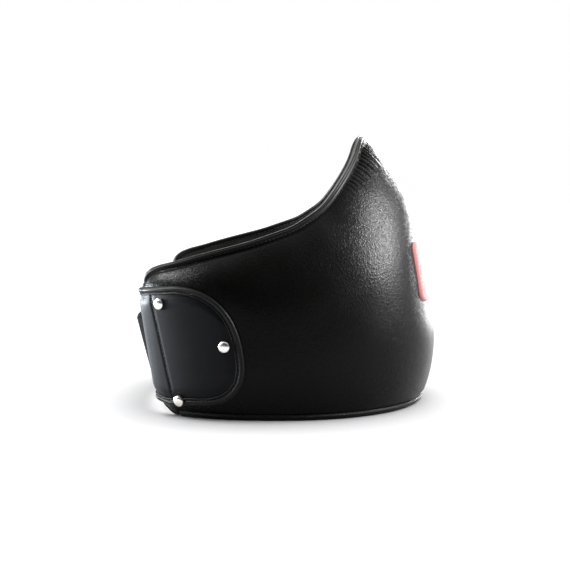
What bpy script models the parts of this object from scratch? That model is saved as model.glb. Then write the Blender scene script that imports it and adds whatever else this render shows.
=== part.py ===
"""Trainer's belly and groin pad: a padded shell, riveted side wings and a back strap.

Frame: metres, +Z up. The pad stands on its bottom edge at z = 0. The wearer faces -Y,
and the wearer's right is -X. Lengths in this file are millimetres, and become metres
where a part's mesh is made.

A place on the pad is given by three numbers:
  around  distance round the wearer's waist (the inner oval) from the front centre,
          positive towards the wearer's right; it may run on past the back centre
  out     distance outwards from the inner oval, level with the floor
  height  z
The whole tube leans back as it rises.
"""
import math

import bmesh
import bpy
import numpy as np
from mathutils import Matrix, Vector

MM = 0.001

# Waist opening, an oval made of two half superellipses
HALF_WIDTH = 152.0
FRONT_DEPTH = 137.0
REAR_DEPTH = 137.0
FRONT_POWER = 2.1
REAR_POWER = 3.0
LEAN = 0.16                # shift to the rear per unit of height
ORIGIN_SHIFT = 10.0        # puts the origin under the middle of the whole pad

# Top rim: distance from the front centre, height
RIM = ((0, 284), (46, 283), (64, 276), (80, 262), (110, 238), (145, 209), (180, 190),
       (225, 175), (275, 162.5), (300, 155.5), (320, 151), (334, 145.5), (343, 137))
RIM_ROUNDING = 7.0

# Padding
FRONT_THICKNESS = 46.5
SIDE_THICKNESS = 31.0
REAR_THICKNESS = 14.0
EDGE_THICKNESS = 6.5       # of the shell just under the rim binding
FRONT_CROWN = 90.0         # width of the shell's rounded border at the front
REAR_CROWN = 28.0          # and at the wings
FOOT_SHARE = 0.47          # thickness at the foot, as a share of the full thickness
SOLE_SHARE = 0.36          # width of the flat sole, likewise
COMFORT_SHARE = 0.19       # comfort foam, likewise
LEATHER = 1.3
LINING = 1.0
GAP = 0.3                  # between pieces that touch

# Bound edges
RIM_BINDING = 6.5
RIM_BINDING_WIDTH = 6.4
RIM_CLEARANCE = 1.2        # the rim bends sharply by the peak, so its mesh needs room
SOLE_BINDING = 5.0
PAD_FOOT = 3.0

# Side wings: D-shaped leather panels, with the nose towards the front
FOLD = 320.5               # the stitched fold, where the rear of a wing swings
FOLD_OUT = 22.0            # its axis lies at the panel's outer face
FOLD_HEIGHT = 72.0
FOLD_CLEARANCE = 0.6
WING_END = 342.0
CORNER_RISE = 12.0
PANEL_BASE = 1.5           # above the shell
PANEL_THICKNESS = 2.0
BAND_THICKNESS = 3.0
BAND_WIDTH = 7.5
PANEL_INSET = 9.3          # of the panel inside the band, from the wing's outline
NOSE_AROUND = 300.0
NOSE_HEIGHT = 66.0
NOSE_LENGTH = 55.0
NOSE_UP = 66.0
NOSE_DOWN = 52.0
NOSE_POWER = 2.4
PANEL_TOP_SLOPE = -0.10
PANEL_FOOT_SLOPE = -0.13
PANEL_END = 341.0
PANEL_CORNER_RISE = 14.0

# Rivets: around, height, and how far the head stands off the shell
RIVETS = ((315.0, 114.0, 3.9), (260.5, 75.0, 3.9), (311.0, 19.5, 5.0))
RIVET_HEAD = 5.7
RIVET_DOME = 2.7
RIVET_SHANK = 2.0
RIVET_HOLE = 2.6
BURR_RADIUS = 4.8
BURR_THICKNESS = 1.4
BURR_POCKET = 6.2
BURR_CLEARANCE = 1.8       # below the cover, whose faces are flat between their corners

# Front patch
PATCH_HALF = 68.0
PATCH_LOW = 108.0
PATCH_HIGH = 172.0
PATCH_CORNER = 11.0
PATCH_THICKNESS = 1.5

# Back strap of 75 mm webbing, closed by hook and loop on the left tail
STRAP_LOW = 16.5
STRAP_HIGH = 91.5
WEB = 2.2
TAPE = 1.4
TAPE_MARGIN = 5.0
STRAP_OUT = -3.2           # inner face of the webbing where it is sewn inside a wing
STRAP_ROOT = 323.0         # where the webbing starts
STRAP_HINGE = 353.0        # where the strap bends as it is peeled open
STRAP_AXIS_STAND = 1.0     # of its axis, off the strap's outer face
STRAP_CLEARANCE = 1.0
STRAP_END = 561.0
STRAP_SETTLE = (350.0, 400.0)
STRAP_BACK_OUT = -3.6      # inner face of the strap across the back, at its upper edge
TAIL_SETTLE = (345.0, 380.0)
TAIL_BACK_OUT = -9.5       # and of the left tail
STRAP_TILT = 0.09          # how much closer the straps lie to the body at their foot
TAIL_END = 466.0
TAIL_TAPE_START = 383.0
STRAP_TAPE_START = 484.0
TAB_LENGTH = 15.0

# Mesh density
ROUND_STEPS = 30
HEIGHT_SHARES = (0, 0.06, 0.15, 0.30, 0.50, 0.70, 0.85, 0.94, 1)
WING_STEPS = 4
WEB_STEP = 12.0
BAND_STEP = 10.0

BLACK_LEATHER = ("black leather", (0.012, 0.012, 0.014), 0.36, 0.0)
LINING_CLOTH = ("lining cloth", (0.045, 0.047, 0.040), 0.85, 0.0)
DENSE_FOAM = ("dense foam", (0.10, 0.10, 0.11), 0.9, 0.0)
SOFT_FOAM = ("soft foam", (0.32, 0.31, 0.28), 0.95, 0.0)
WEBBING = ("webbing", (0.014, 0.014, 0.015), 0.8, 0.0)
TAPE_CLOTH = ("hook and loop tape", (0.02, 0.02, 0.022), 0.95, 0.0)
RED_VINYL = ("red vinyl", (0.55, 0.05, 0.06), 0.5, 0.0)
NICKEL = ("nickel", (0.82, 0.82, 0.80), 0.2, 1.0)


# --- Shape of the pad ---------------------------------------------------------------

def smooth(value, start, end):
    """0 before start, 1 after end, eased between."""
    share = min(max((value - start) / (end - start), 0.0), 1.0)
    return share * share * (3 - 2 * share)


def measure_oval():
    """Even steps along half of the inner oval: distance, width, depth, outward normal."""
    turn = np.linspace(0, math.pi / 2, 1500)
    front_wide = HALF_WIDTH * np.sin(turn) ** (2 / FRONT_POWER)
    front_deep = -FRONT_DEPTH * np.cos(turn) ** (2 / FRONT_POWER)
    rear_wide = HALF_WIDTH * np.cos(turn) ** (2 / REAR_POWER)
    rear_deep = REAR_DEPTH * np.sin(turn) ** (2 / REAR_POWER)
    wide = np.concatenate([front_wide, rear_wide[1:]])
    deep = np.concatenate([front_deep, rear_deep[1:]])
    run = np.concatenate([[0], np.cumsum(np.hypot(np.diff(wide), np.diff(deep)))])
    even = np.linspace(0, run[-1], 241)
    wide = np.interp(even, run, wide)
    deep = np.interp(even, run, deep)
    normal_wide = np.gradient(deep, even)
    normal_deep = -np.gradient(wide, even)
    return even, wide, deep, normal_wide, normal_deep


OVAL = measure_oval()
BACK_CENTRE = float(OVAL[0][-1])


def place(around, out, height):
    """The point at a place on the pad."""
    distance = abs(around)
    side = -1 if around >= 0 else 1
    if distance > BACK_CENTRE:
        distance = 2 * BACK_CENTRE - distance
        side = -side
    wide, deep, normal_wide, normal_deep = (
        float(np.interp(distance, OVAL[0], column)) for column in OVAL[1:])
    x = side * (wide + normal_wide * out)
    y = deep + normal_deep * out + LEAN * height + ORIGIN_SHIFT
    return Vector((x, y, height))


def rim_height(around):
    """Height of the top rim, its corners rounded by averaging."""
    distances, heights = zip(*RIM)
    window = np.linspace(-RIM_ROUNDING, RIM_ROUNDING, 9)
    return float(np.mean(np.interp(np.abs(abs(around) + window), distances, heights)))


def rim_slope(around):
    """Fall of the rim per unit of distance from the front centre."""
    return (rim_height(abs(around) - 2) - rim_height(abs(around) + 2)) / 4 if around else 0.0


def shell_top(around):
    """Upper edge of the shell, just under the rim binding."""
    return rim_height(around) - (RIM_BINDING + RIM_CLEARANCE) * math.hypot(1, rim_slope(around))


def foot_height(around):
    """Lower edge of the padding; it rises at the rear corner of a wing."""
    past_fold = max(abs(around) - FOLD, 0) / (WING_END - FOLD)
    return PAD_FOOT + CORNER_RISE * past_fold ** 2


def full_thickness(around):
    """Padding thickness away from the edges."""
    distance = abs(around)
    front_to_side = (FRONT_THICKNESS - SIDE_THICKNESS) * smooth(distance, 60, 235)
    side_to_rear = (SIDE_THICKNESS - REAR_THICKNESS) * smooth(distance, 235, 345)
    return FRONT_THICKNESS - front_to_side - side_to_rear


def shell_out(around, height):
    """Outer face of the shell: crowned, thin at the rim and rounded in at the foot."""
    crown = FRONT_CROWN - (FRONT_CROWN - REAR_CROWN) * smooth(abs(around), 150, 330)
    full = full_thickness(around)
    above = max(height - foot_height(around), 0) / crown
    below = (shell_top(around) - height) / math.hypot(1, rim_slope(around)) / crown
    foot_rise = 1 - (1 - min(above, 1)) ** 2.2
    rim_rise = 1 - (1 - min(max(below, 0), 1)) ** 2.5
    at_foot = full * (FOOT_SHARE + (1 - FOOT_SHARE) * foot_rise)
    return EDGE_THICKNESS + (at_foot - EDGE_THICKNESS) * rim_rise


def comfort_out(around, height):
    """Outer face of the soft foam against the body."""
    share = COMFORT_SHARE * (shell_out(around, height) - EDGE_THICKNESS)
    return LINING + GAP + max(share, 0)


def shell_normal(around, height):
    """Outward normal of the shell's outer face."""
    step = 1.0
    ahead = place(around + step, shell_out(around + step, height), height)
    behind = place(around - step, shell_out(around - step, height), height)
    higher = place(around, shell_out(around, height + step), height + step)
    lower = place(around, shell_out(around, height - step), height - step)
    normal = (ahead - behind).cross(higher - lower).normalized()
    outwards = place(around, 1, height) - place(around, 0, height)
    return normal if normal.dot(outwards) > 0 else -normal


# --- Meshes ---------------------------------------------------------------------------

def make_material(finish):
    """A Principled material shared by the parts of one finish."""
    name, colour, roughness, metallic = finish
    material = bpy.data.materials.get(name)
    if material is None:
        material = bpy.data.materials.new(name)
        material.use_nodes = True
        shader = material.node_tree.nodes["Principled BSDF"]
        shader.inputs["Base Color"].default_value = (*colour, 1)
        shader.inputs["Roughness"].default_value = roughness
        shader.inputs["Metallic"].default_value = metallic
    return material


def add_part(name, points, faces, finish, axis=None):
    """One object from points in millimetres; a moving one hangs from its axis empty."""
    origin = axis.location if axis else Vector((0, 0, 0))
    mesh = bpy.data.meshes.new(name)
    mesh.from_pydata([Vector(point) * MM - origin for point in points], [], faces)
    work = bmesh.new()
    work.from_mesh(mesh)
    bmesh.ops.recalc_face_normals(work, faces=work.faces)
    work.to_mesh(mesh)
    work.free()
    mesh.shade_smooth()
    mesh.set_sharp_from_angle(angle=math.radians(40))
    part = bpy.data.objects.new(name, mesh)
    bpy.context.collection.objects.link(part)
    if finish:
        mesh.materials.append(make_material(finish))
    if axis:
        part.parent = axis
    return part


def add_cutter(name, points, faces):
    """A solid that only cuts others."""
    cutter = add_part(name, points, faces, None)
    cutter.hide_render = True
    cutter.display_type = "WIRE"
    return cutter


def cut(part, cutter):
    """Take the cutter out of the part."""
    boolean = part.modifiers.new("cut", "BOOLEAN")
    boolean.object = cutter
    boolean.operation = "DIFFERENCE"
    boolean.solver = "EXACT"


def slab(grid, low, high):
    """A closed sheet over a grid of (around, height), between two outward distances."""
    columns = len(grid)
    rows = len(grid[0])
    points = [place(around, face(around, height), height)
              for face in (low, high) for column in grid for around, height in column]

    def index(layer, i, j):
        return (layer * columns + i) * rows + j

    faces = []
    for layer in (0, 1):
        for i in range(columns - 1):
            for j in range(rows - 1):
                a, b = index(layer, i, j), index(layer, i + 1, j)
                c, d = index(layer, i + 1, j + 1), index(layer, i, j + 1)
                faces += [(a, b, c), (a, c, d)]
    border = [(i, 0) for i in range(columns - 1)]
    border += [(columns - 1, j) for j in range(rows - 1)]
    border += [(i, rows - 1) for i in range(columns - 1, 0, -1)]
    border += [(0, j) for j in range(rows - 1, 0, -1)]
    for here, there in zip(border, border[1:] + border[:1]):
        faces.append((index(0, *here), index(0, *there), index(1, *there), index(1, *here)))
    return points, faces


def loft(sections):
    """A closed bar through matching sections, with flat ends."""
    size = len(sections[0])
    points = [point for section in sections for point in section]
    faces = [tuple(range(size)), tuple(range(len(points) - size, len(points)))]
    for start in range(0, len(points) - size, size):
        for k in range(size):
            after = (k + 1) % size
            faces.append((start + k, start + after, start + size + after, start + size + k))
    return points, faces


def turned(profile, centre, direction, steps=12):
    """A profile of (radius, height), on the axis at both ends or closed, turned round."""
    turn_to = Vector(direction).to_track_quat("Z", "Y").to_matrix().to_4x4()
    to_place = Matrix.Translation(centre) @ turn_to
    rings = []
    points = []
    for radius, height in profile:
        count = steps if radius > 0 else 1
        rings.append([len(points) + k for k in range(count)])
        for k in range(count):
            angle = 2 * math.pi * k / count
            points.append(to_place @ Vector((radius * math.cos(angle),
                                             radius * math.sin(angle), height)))
    closed = profile[0][0] > 0
    pairs = list(zip(rings, rings[1:]))
    if closed:
        pairs.append((rings[-1], rings[0]))
    faces = []
    for lower, upper in pairs:
        for k in range(steps):
            corners = [lower[k % len(lower)], lower[(k + 1) % len(lower)],
                       upper[(k + 1) % len(upper)], upper[k % len(upper)]]
            faces.append(tuple(dict.fromkeys(corners)))
    return points, faces


def join_solids(solids):
    """Several separate closed solids as one list of points and faces."""
    points, faces = [], []
    for more_points, more_faces in solids:
        faces += [tuple(k + len(points) for k in face) for face in more_faces]
        points += more_points
    return points, faces


def span(start, end, steps):
    """Even values from start to end."""
    return [start + (end - start) * k / steps for k in range(steps + 1)]


def above(distance):
    """A face at a distance off the shell."""
    return lambda around, height: shell_out(around, height) + distance


def level(out):
    """A face at a constant outward distance."""
    return lambda around, height: out


# --- Padded shell -----------------------------------------------------------------------

def shell_grid(arounds, foot, skip=0):
    """Grid over the shell from its foot to the rim binding, less some border rows."""
    shares = HEIGHT_SHARES[skip:len(HEIGHT_SHARES) - skip]
    return [[(around, foot(around) + (shell_top(around) - foot(around)) * share)
             for share in shares] for around in arounds]


def pad_foot(around):
    """The fixed shell stands on the sole binding."""
    return SOLE_BINDING + GAP


def wing_foot(around):
    """The swinging part of a wing has no sole; it clears the floor."""
    return foot_height(around) - PAD_FOOT + 1.0


def build_shell():
    """The fixed pad between the two folds; returns the parts that rivets go into."""
    arounds = span(-FOLD + FOLD_CLEARANCE, FOLD - FOLD_CLEARANCE, ROUND_STEPS)
    grid = shell_grid(arounds, pad_foot)
    inner_grid = shell_grid(arounds, pad_foot, skip=1)

    def dense_inner(around, height):
        edges = (pad_foot(around), shell_top(around))
        at_edge = min(abs(height - edge) for edge in edges) < 0.01
        return LINING + GAP if at_edge else comfort_out(around, height) + GAP

    cover = add_part("outer_cover", *slab(grid, above(-LEATHER), above(0)), BLACK_LEATHER)
    impact = add_part("impact_foam", *slab(grid, dense_inner, above(-LEATHER - GAP)),
                      DENSE_FOAM)
    add_part("comfort_foam", *slab(inner_grid, level(LINING + GAP), comfort_out), SOFT_FOAM)
    add_part("inner_lining", *slab(grid, level(0), level(LINING)), LINING_CLOTH)
    return cover, impact


def rim_section(around, limits):
    """Cross-section of the rim binding, square to the rim."""
    side = 1 if around >= 0 else -1
    slope = rim_slope(around)
    length = math.hypot(1, slope)
    profile = ((0.0, 1.0), (0.0, 0.3), (0.25, 0.06), (0.5, 0.0), (0.75, 0.07), (1.0, 0.35),
               (1.0, 1.0))
    section = []
    for width, depth in profile:
        shift = -slope / length * depth * RIM_BINDING * side
        along = min(max(around + shift, limits[0]), limits[1])
        height = rim_height(around) - depth * RIM_BINDING / length
        section.append(place(along, width * RIM_BINDING_WIDTH, height))
    return section


def build_bindings():
    """The rolled rim binding and the flat-soled binding that the pad stands on."""
    limits = (-FOLD + FOLD_CLEARANCE, FOLD - FOLD_CLEARANCE)
    arounds = span(*limits, ROUND_STEPS + 12)
    add_part("top_binding", *loft([rim_section(a, limits) for a in arounds]), BLACK_LEATHER)
    sections = []
    for around in span(*limits, ROUND_STEPS):
        sole = SOLE_SHARE * full_thickness(around)
        lip = shell_out(around, SOLE_BINDING) - GAP
        profile = ((1.2, 0), (0.2, 1), (0.2, SOLE_BINDING), (lip, SOLE_BINDING),
                   ((sole + 2 * lip) / 3, 1.6), (sole, 0))
        sections.append([place(around, out, height) for out, height in profile])
    add_part("bottom_binding", *loft(sections), BLACK_LEATHER)


def build_patch():
    """The sewn patch on the front of the pad, with rounded corners."""
    grid = []
    for around in span(-PATCH_HALF, PATCH_HALF, 14):
        inset = max(abs(around) - (PATCH_HALF - PATCH_CORNER), 0)
        drop = PATCH_CORNER - math.sqrt(max(PATCH_CORNER ** 2 - inset ** 2, 0))
        grid.append([(around, h) for h in span(PATCH_LOW + drop, PATCH_HIGH - drop, 5)])
    add_part("front_patch", *slab(grid, above(PANEL_BASE), above(PANEL_BASE + PATCH_THICKNESS)),
             RED_VINYL)


# --- Wings ------------------------------------------------------------------------------

def panel_edges(around, inset=0.0):
    """Lower and upper edge of a wing panel at a distance from the front centre."""
    forward = max(NOSE_AROUND - around, 0) / (NOSE_LENGTH - inset)
    height = (1 - min(forward, 1) ** NOSE_POWER) ** (1 / NOSE_POWER)
    rearward = max(around - NOSE_AROUND, 0)
    corner = PANEL_CORNER_RISE * smooth(around, FOLD, 2 * WING_END - FOLD)
    low = NOSE_HEIGHT - (NOSE_DOWN - inset) * height + PANEL_FOOT_SLOPE * rearward + corner
    high = NOSE_HEIGHT + (NOSE_UP - inset) * height + PANEL_TOP_SLOPE * rearward
    return low, high


def nose_outline(inset):
    """Outline of the fixed part of a panel, from the fold over the nose to the fold."""
    end = FOLD - FOLD_CLEARANCE
    outline = [(end, panel_edges(end, inset)[1])]
    for angle in span(90, -90, 18):
        turn = math.radians(angle)
        forward = abs(math.cos(turn)) ** (2 / NOSE_POWER)
        rise = math.copysign(abs(math.sin(turn)) ** (2 / NOSE_POWER), turn)
        reach = NOSE_UP if turn > 0 else NOSE_DOWN
        outline.append((NOSE_AROUND - (NOSE_LENGTH - inset) * forward,
                        NOSE_HEIGHT + (reach - inset) * rise))
    outline.append((end, panel_edges(end, inset)[0]))
    return outline


def tail_edge(which):
    """Upper (1) or lower (0) outline of the swinging part of a panel."""
    def outline(inset):
        return [(around, panel_edges(around, inset)[which])
                for around in (FOLD + FOLD_CLEARANCE, PANEL_END)]
    return outline


def subdivide(rungs):
    """Rungs across a band, with more of them along its long straight stretches."""
    finer = [rungs[0]]
    for here, there in zip(rungs, rungs[1:]):
        steps = max(1, math.ceil(math.dist(here[0], there[0]) / BAND_STEP))
        for k in range(1, steps + 1):
            share = k / steps
            finer.append([[a + (b - a) * share for a, b in zip(start, end)]
                          for start, end in zip(here, there)])
    return finer


def band(outline, side):
    """The raised binding along a panel's outline."""
    profile = ((0.0, 0.0), (0.0, 0.6), (0.25, 1.0), (0.75, 1.0), (1.0, 0.6), (1.0, 0.0))
    sections = []
    for outer, inner in subdivide(list(zip(outline(0), outline(BAND_WIDTH)))):
        section = []
        for across, up in profile:
            around = outer[0] + (inner[0] - outer[0]) * across
            height = outer[1] + (inner[1] - outer[1]) * across
            out = shell_out(around, height) + PANEL_BASE + up * BAND_THICKNESS
            section.append(place(side * around, out, height))
        sections.append(section)
    return loft(sections)


def panel(arounds, side):
    """The leather inside the binding of a wing."""
    grid = [[(side * around, height) for height in span(*panel_edges(around, PANEL_INSET), 7)]
            for around in arounds]
    return slab(grid, above(PANEL_BASE), above(PANEL_BASE + PANEL_THICKNESS))


def rivet_frame(side, rivet):
    """Seat and outward direction of a rivet."""
    around, height, stand = rivet
    direction = shell_normal(side * around, height)
    return place(side * around, shell_out(around, height), height) + direction * stand, direction


def rivet_grip(rivet):
    """Distance from under the head to the burr, below the cover."""
    return rivet[2] + LEATHER + BURR_CLEARANCE


def build_rivets(name, side, covers, foam):
    """Domed caps outside, burrs below the cover, and the holes for them."""
    holes, pockets = [], []
    for number, rivet in enumerate(RIVETS, 1):
        seat, direction = rivet_frame(side, rivet)
        grip = rivet_grip(rivet)
        head = [(RIVET_HEAD * math.cos(math.radians(a)), RIVET_DOME * math.sin(math.radians(a)))
                for a in (0, 25, 50, 72)]
        cap = [(0, -grip - BURR_THICKNESS), (RIVET_SHANK, -grip - BURR_THICKNESS),
               (RIVET_SHANK, 0), (RIVET_HEAD, 0)] + head[1:] + [(0, RIVET_DOME)]
        add_part(f"{name}_rivet_{number}", *turned(cap, seat, direction), NICKEL)
        burr = [(RIVET_SHANK + GAP, -grip), (BURR_RADIUS, -grip),
                (BURR_RADIUS, -grip - BURR_THICKNESS), (RIVET_SHANK + GAP, -grip - BURR_THICKNESS)]
        add_part(f"{name}_burr_{number}", *turned(burr[::-1], seat, direction), NICKEL)
        hole = [(0, -grip - 3), (RIVET_HOLE, -grip - 3), (RIVET_HOLE, -0.1), (0, -0.1)]
        holes.append(turned(hole, seat, direction))
        pocket = [(0, -grip - BURR_THICKNESS - 0.6), (BURR_POCKET, -grip - BURR_THICKNESS - 0.6),
                  (BURR_POCKET, 0), (0, 0)]
        pockets.append(turned(pocket, seat, direction))
    hole_cutter = add_cutter(f"{name}_rivet_holes", *join_solids(holes))
    pocket_cutter = add_cutter(f"{name}_burr_pockets", *join_solids(pockets))
    for cover in covers:
        cut(cover, hole_cutter)
    cut(foam, pocket_cutter)


def build_wing(name, side, axis):
    """The swinging rear of a wing: cover, foam, lining, rim binding and panel."""
    def wing_grid(skip):
        arounds = span(side * (FOLD + FOLD_CLEARANCE), side * WING_END, WING_STEPS)
        return shell_grid(arounds, wing_foot, skip)

    grid = wing_grid(0)
    add_part(name + "_wing_cover", *slab(grid, above(-LEATHER), above(0)), BLACK_LEATHER, axis)
    add_part(name + "_wing_foam",
             *slab(grid, level(LINING + GAP), above(-LEATHER - GAP)), DENSE_FOAM, axis)
    add_part(name + "_wing_lining", *slab(grid, level(0), level(LINING)), LINING_CLOTH, axis)
    limits = sorted((side * (FOLD + FOLD_CLEARANCE), side * WING_END))
    sections = [rim_section(a, limits) for a in span(*limits, WING_STEPS)]
    add_part(name + "_wing_binding", *loft(sections), BLACK_LEATHER, axis)
    for place_name, which in (("foot", 0), ("top", 1)):
        add_part(f"{name}_wing_band_{place_name}", *band(tail_edge(which), side),
                 BLACK_LEATHER, axis)
    add_part(name + "_wing_panel", *panel(span(FOLD + FOLD_CLEARANCE, PANEL_END, 3), side),
             BLACK_LEATHER, axis)


# --- Strap ------------------------------------------------------------------------------

def web_grid(side, start, end, margin=0.0):
    """Grid over a length of the back strap's webbing."""
    steps = max(1, round((end - start) / WEB_STEP))
    low, high = STRAP_LOW - margin, STRAP_HIGH + margin
    return [[(side * around, height) for height in (low, (low + high) / 2, high)]
            for around in span(start, end, steps)]


def settling(settle, back_out, layer=0.0):
    """Outward distance of webbing that leaves a wing and settles against the back."""
    def out(around, height):
        back = back_out - STRAP_TILT * (STRAP_HIGH - height)
        return STRAP_OUT + (back - STRAP_OUT) * smooth(abs(around), *settle) + layer
    return out


def build_strap(wing_axis, strap_axis):
    """The right strap: a root sewn into the wing, and the part that peels open."""
    face = settling(STRAP_SETTLE, STRAP_BACK_OUT)
    outer = settling(STRAP_SETTLE, STRAP_BACK_OUT, WEB)
    root = web_grid(1, STRAP_ROOT, STRAP_HINGE - STRAP_CLEARANCE)
    add_part("strap_root", *slab(root, face, outer), WEBBING, wing_axis)
    web = web_grid(1, STRAP_HINGE + STRAP_CLEARANCE, STRAP_END)
    add_part("strap_web", *slab(web, face, outer), WEBBING, strap_axis)
    hook = web_grid(1, STRAP_TAPE_START, STRAP_END - 3, -TAPE_MARGIN)
    tape_faces = (settling(STRAP_SETTLE, STRAP_BACK_OUT, layer) for layer in (-GAP - TAPE, -GAP))
    add_part("hook_tape", *slab(hook, *tape_faces), TAPE_CLOTH, strap_axis)
    tab = web_grid(1, STRAP_END + GAP, STRAP_END + TAB_LENGTH)
    tab_outer = settling(STRAP_SETTLE, STRAP_BACK_OUT, WEB + 1)
    add_part("strap_tab", *slab(tab, face, tab_outer), BLACK_LEATHER, strap_axis)


def build_tail(wing_axis):
    """The left tail, whose outer face carries the loop tape."""
    face = settling(TAIL_SETTLE, TAIL_BACK_OUT)
    outer = settling(TAIL_SETTLE, TAIL_BACK_OUT, WEB)
    web = web_grid(-1, STRAP_ROOT, TAIL_END)
    add_part("tail_web", *slab(web, face, outer), WEBBING, wing_axis)
    loop = web_grid(-1, TAIL_TAPE_START, TAIL_END - 3, -TAPE_MARGIN)
    tape_faces = (settling(TAIL_SETTLE, TAIL_BACK_OUT, layer)
                  for layer in (WEB + GAP, WEB + GAP + TAPE))
    add_part("loop_tape", *slab(loop, *tape_faces), TAPE_CLOTH, wing_axis)


# --- Assembly -----------------------------------------------------------------------------

def add_axis(name, point):
    """An upright hinge axis."""
    axis = bpy.data.objects.new(name, None)
    axis.location = point * MM
    bpy.context.collection.objects.link(axis)
    return axis


def build():
    for old in list(bpy.data.objects):
        bpy.data.objects.remove(old, do_unlink=True)
    cover, impact = build_shell()
    build_bindings()
    build_patch()
    axes = {}
    for name, side in (("right", 1), ("left", -1)):
        nose_start = NOSE_AROUND - (NOSE_LENGTH - PANEL_INSET) * 0.985
        nose = span(nose_start, FOLD - FOLD_CLEARANCE, 9)
        wing_panel = add_part(name + "_panel", *panel(nose, side), BLACK_LEATHER)
        wing_band = add_part(name + "_panel_band", *band(nose_outline, side), BLACK_LEATHER)
        build_rivets(name, side, (cover, wing_panel, wing_band), impact)
        axes[name] = add_axis(name + "_fold_axis", place(side * FOLD, FOLD_OUT, FOLD_HEIGHT))
        build_wing(name, side, axes[name])
    strap_middle = (STRAP_LOW + STRAP_HIGH) / 2
    strap_out = STRAP_OUT + WEB + STRAP_AXIS_STAND
    strap_axis = add_axis("strap_axis", place(STRAP_HINGE, strap_out, strap_middle))
    build_strap(axes["right"], strap_axis)
    build_tail(axes["left"])


build()
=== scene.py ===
"""Looks of the belly pad: grained leather shell, rolled bindings, riveted wings, back strap.

Places follow part.py: around is the distance round the waist opening from the front
centre, positive towards the wearer's right; out is the distance outwards from the
opening, and height is z. Lengths here are millimetres and become metres in meshes.
"""
import math
import random

import bmesh
import bpy
import numpy as np
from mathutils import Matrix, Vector


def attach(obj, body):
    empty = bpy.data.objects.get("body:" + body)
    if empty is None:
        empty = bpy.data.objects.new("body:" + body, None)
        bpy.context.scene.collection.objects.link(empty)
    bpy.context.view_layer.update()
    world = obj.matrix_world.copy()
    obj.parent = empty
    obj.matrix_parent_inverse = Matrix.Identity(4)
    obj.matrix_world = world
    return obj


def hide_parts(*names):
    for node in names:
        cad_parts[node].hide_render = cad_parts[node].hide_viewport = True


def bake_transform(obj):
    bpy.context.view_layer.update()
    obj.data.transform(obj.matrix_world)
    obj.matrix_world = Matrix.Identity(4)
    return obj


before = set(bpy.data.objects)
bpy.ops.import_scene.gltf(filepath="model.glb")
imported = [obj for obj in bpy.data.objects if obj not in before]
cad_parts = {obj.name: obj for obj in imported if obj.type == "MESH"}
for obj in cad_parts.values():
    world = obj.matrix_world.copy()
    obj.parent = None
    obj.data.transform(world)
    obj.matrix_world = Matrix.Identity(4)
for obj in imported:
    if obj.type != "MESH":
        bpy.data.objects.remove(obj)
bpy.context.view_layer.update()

MM = 0.001

# Shape of the pad, as in part.py
HALF_WIDTH = 152.0
FRONT_DEPTH = 137.0
REAR_DEPTH = 137.0
FRONT_POWER = 2.1
REAR_POWER = 3.0
LEAN = 0.16
ORIGIN_SHIFT = 10.0
RIM = ((0, 284), (46, 283), (64, 276), (80, 262), (110, 238), (145, 209), (180, 190),
       (225, 175), (275, 162.5), (300, 155.5), (320, 151), (334, 145.5), (343, 137))
RIM_ROUNDING = 7.0
RIM_BINDING = 6.5
RIM_CLEARANCE = 1.2
FRONT_THICKNESS = 46.5
SIDE_THICKNESS = 31.0
REAR_THICKNESS = 14.0
EDGE_THICKNESS = 6.5
FRONT_CROWN = 90.0
REAR_CROWN = 28.0
FOOT_SHARE = 0.47
SOLE_SHARE = 0.36
SOLE_BINDING = 5.0
CORNER_RISE = 12.0
FOLD = 320.5
WING_END = 342.0
NOSE_AROUND = 300.0
NOSE_HEIGHT = 66.0
NOSE_LENGTH = 55.0
NOSE_UP = 66.0
NOSE_DOWN = 52.0
NOSE_POWER = 2.4
PANEL_TOP_SLOPE = -0.10
PANEL_FOOT_SLOPE = -0.13
PANEL_CORNER_RISE = 14.0
RIVETS = ((315.0, 114.0, 3.9), (260.5, 75.0, 3.9), (311.0, 19.5, 5.0))
RIVET_HEAD = 5.7
RIVET_DOME = 2.7
PATCH_HALF = 68.0
PATCH_LOW = 108.0
PATCH_HIGH = 172.0
PATCH_CORNER = 11.0
STRAP_LOW = 16.5
STRAP_HIGH = 91.5
WEB = 2.2
TAPE = 1.4
TAPE_MARGIN = 5.0
STRAP_OUT = -3.2
STRAP_HINGE = 353.0
STRAP_END = 561.0
STRAP_SETTLE = (350.0, 400.0)
STRAP_BACK_OUT = -3.6
TAIL_SETTLE = (345.0, 380.0)
TAIL_BACK_OUT = -9.5
STRAP_TILT = 0.09
TAIL_END = 466.0
TAIL_TAPE_START = 383.0
STRAP_TAPE_START = 484.0
TAB_LENGTH = 15.0

# Looks
SPLIT = 302.0              # the wing's own leather takes over from the pad's here
CURL_START = 334.0         # where it starts to curl round the rear edge
PANEL_LIFT = 2.4           # of the wing panels off the shell
BAND_LIFT = 4.2
FOLD_SOFT = (-1.0, 14.0)   # the leather bends over this stretch behind the fold
STRAP_SOFT = (-2.0, 16.0)  # and the webbing over this stretch at the strap's hinge
ROLL_DEPTH = 0.86          # of the rim's rolled binding, as a share of its drawn profile
SWELL_CAP = 3.0            # the most that the shell's leather swells
TUCKED = 2.6               # how far the shell runs up behind the rim binding
PEAK_TUCK = 4.4            # and how much higher it comes at the peak
BROAD = np.linspace(-26, 26, 9)     # shifts over which the rim's line is averaged
PUCKER_GAP = 4.1           # between gathers, on average
PUCKER_END = 116.0         # the last gather, down each shoulder
CORNER_START = 335.0       # where a wing's rim turns down
CORNER_RADIUS = 7.0
LINING_END = 337.0
WEB_START = 323.0          # where the webbing is sewn in, inside a wing
STITCH = 2.6
STITCH_GAP = 4.2
random.seed(7)


# --- Shape functions --------------------------------------------------------------------

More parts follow.
